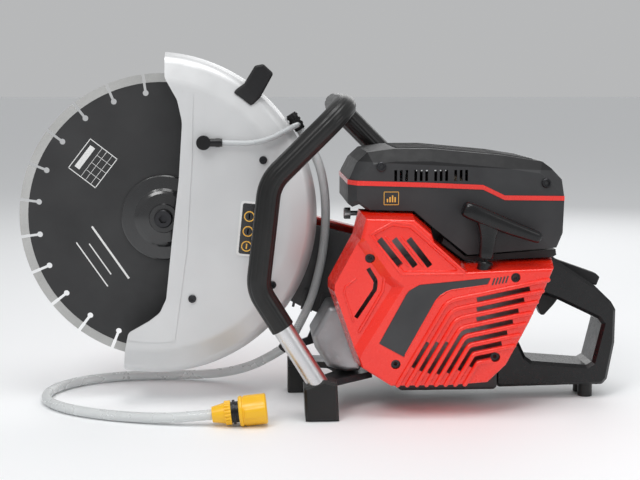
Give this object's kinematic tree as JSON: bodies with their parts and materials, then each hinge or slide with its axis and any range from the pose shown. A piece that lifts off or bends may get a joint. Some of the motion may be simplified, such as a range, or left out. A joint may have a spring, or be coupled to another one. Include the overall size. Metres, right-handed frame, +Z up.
{
  "type": "hand-held petrol power cutter",
  "caption": "Hand-held petrol cut-off saw with a belt-driven diamond blade, tilting wet guard, recoil starter, front and rear handles and a water hose with quick coupling.",
  "frame": {"origin": "on the ground, centred under the tool's bounding box without the free hose and its coupling", "axes": "+Z up, -X towards the blade, +X towards the rear handle, -Y towards the starter side, blade in the plane Y = 0"},
  "size_m": [0.732, 0.2606, 0.4283],
  "materials": {
    "blade_paint": "matte black paint on steel",
    "segment": "sintered metal, ground",
    "steel": "turned steel",
    "black_steel": "black oxide",
    "cast": "cast, blasted",
    "arm_paint": "dark grey powder coat",
    "guard_paint": "silver-white paint",
    "red": "glossy moulded red",
    "dark_plastic": "fine-grained dark grey",
    "grip_rubber": "ribbed",
    "tube": "satin tube",
    "yellow": "moulded yellow",
    "clear_hose": "milky translucent",
    "braid": "grey braided",
    "belt": "ribbed belt",
    "filter": "pleated paper",
    "tank": "moulded tank"
  },
  "bodies": {
    "machine": {"air_filter": "filter", "arm_bolts": "black_steel", "base_frame": "dark_plastic", "bearings": "steel", "belt_cover": "red", "braided_hose": "braid", "carburettor": "cast", "clutch_cover": "red", "clutch_shoes": "black_steel", "connecting_rod": "steel", "coupling_body": "yellow", "coupling_collar": "dark_plastic", "coupling_nut": "yellow", "cover_screws": "black_steel", "crankcase": "cast", "crankshaft": "steel", "cutting_arm": "arm_paint", "cylinder": "cast", "drive_belt": "belt", "filter_base": "dark_plastic", "flywheel": "cast", "front_handle_grip": "grip_rubber", "front_handle_tube": "tube", "fuel_tank": "tank", "hose_union": "arm_paint", "muffler": "steel", "piston": "steel", "rear_handle": "dark_plastic", "recoil_spring": "steel", "rope_bush": "dark_plastic", "rubber_feet": "grip_rubber", "spark_plug": "steel", "starter_cover": "red", "top_cover": "dark_plastic", "water_hose": "clear_hose", "wrist_pin": "steel"},
    "blade": {"blade_core": "blade_paint", "blade_segments": "segment", "outer_flange": "steel", "inner_flange": "steel", "arbor_bush": "steel", "blade_bolt": "black_steel", "spindle_shaft": "steel", "spindle_pulley": "steel"},
    "clutch": {"clutch_drum": "steel"},
    "guard": {"guard_shell": "guard_paint", "guard_back": "guard_paint", "guard_grip": "dark_plastic", "guard_screws": "black_steel", "water_elbows": "dark_plastic", "water_tee": "dark_plastic", "branch_tubes": "grip_rubber"},
    "starter_reel": {"starter_reel": "dark_plastic"},
    "starter_handle": {"starter_handle": "dark_plastic"},
    "fuel_cap": {"fuel_cap": "dark_plastic"},
    "throttle_trigger": {"throttle_trigger": "dark_plastic"},
    "throttle_lockout": {"throttle_lockout": "dark_plastic"},
    "stop_switch": {"stop_switch": "dark_plastic"},
    "choke_knob": {"choke_knob": "dark_plastic"},
    "decompression_button": {"decompression_button": "dark_plastic"}
  },
  "joints": [
    {"name": "blade_spin", "type": "hinge", "parent": "machine", "child": "blade", "pos_m": [-0.191, 0, 0.2275], "axis": [0, 1, 0], "continuous": true},
    {"name": "clutch_spin", "type": "hinge", "parent": "machine", "child": "clutch", "pos_m": [0.102, 0, 0.143], "axis": [0, 1, 0], "continuous": true},
    {"name": "guard_tilt", "type": "hinge", "parent": "machine", "child": "guard", "pos_m": [-0.191, 0, 0.2275], "axis": [0, 1, 0], "range_deg": [-30, 25], "deforming": ["braided_hose"]},
    {"name": "starter_pull", "type": "slide", "parent": "machine", "child": "starter_handle", "axis": [0.2079, 0, 0.9781], "range_m": [0, 0.7], "stiffness_N_per_m": 12, "springref_m": -0.25},
    {"name": "starter_spin", "type": "hinge", "parent": "machine", "child": "starter_reel", "pos_m": [0.102, 0, 0.143], "axis": [0, 1, 0], "range_deg": [0, 1450]},
    {"name": "throttle_squeeze", "type": "hinge", "parent": "machine", "child": "throttle_trigger", "pos_m": [0.262, -0.002, 0.143], "axis": [0, -1, 0], "range_deg": [0, 14], "stiffness_Nm_per_rad": 0.5, "springref_deg": -17.19},
    {"name": "lockout_press", "type": "hinge", "parent": "machine", "child": "throttle_lockout", "pos_m": [0.294, -0.002, 0.162], "axis": [0, 1, 0], "range_deg": [0, 10], "stiffness_Nm_per_rad": 0.4, "springref_deg": -17.19},
    {"name": "stop_switch_slide", "type": "slide", "parent": "machine", "child": "stop_switch", "axis": [1, 0, 0], "range_m": [-0.004, 0.004]},
    {"name": "choke_pull", "type": "slide", "parent": "machine", "child": "choke_knob", "axis": [0, 1, 0], "range_m": [0, 0.015]},
    {"name": "decompression_press", "type": "slide", "parent": "machine", "child": "decompression_button", "axis": [1, 0, 0], "range_m": [0, 0.004], "stiffness_N_per_m": 300, "springref_m": -0.01},
    {"name": "fuel_cap_turn", "type": "hinge", "parent": "machine", "child": "fuel_cap", "pos_m": [0.172, 0.035, 0.048], "axis": [0, 1, 0], "range_deg": [0, 90]}
  ],
  "couplings": [
    {"joint": "clutch_spin", "follows": "blade_spin", "ratio": 1.6667},
    {"joint": "starter_spin", "follows": "starter_pull", "rad_per_m": 35.714}
  ]
}
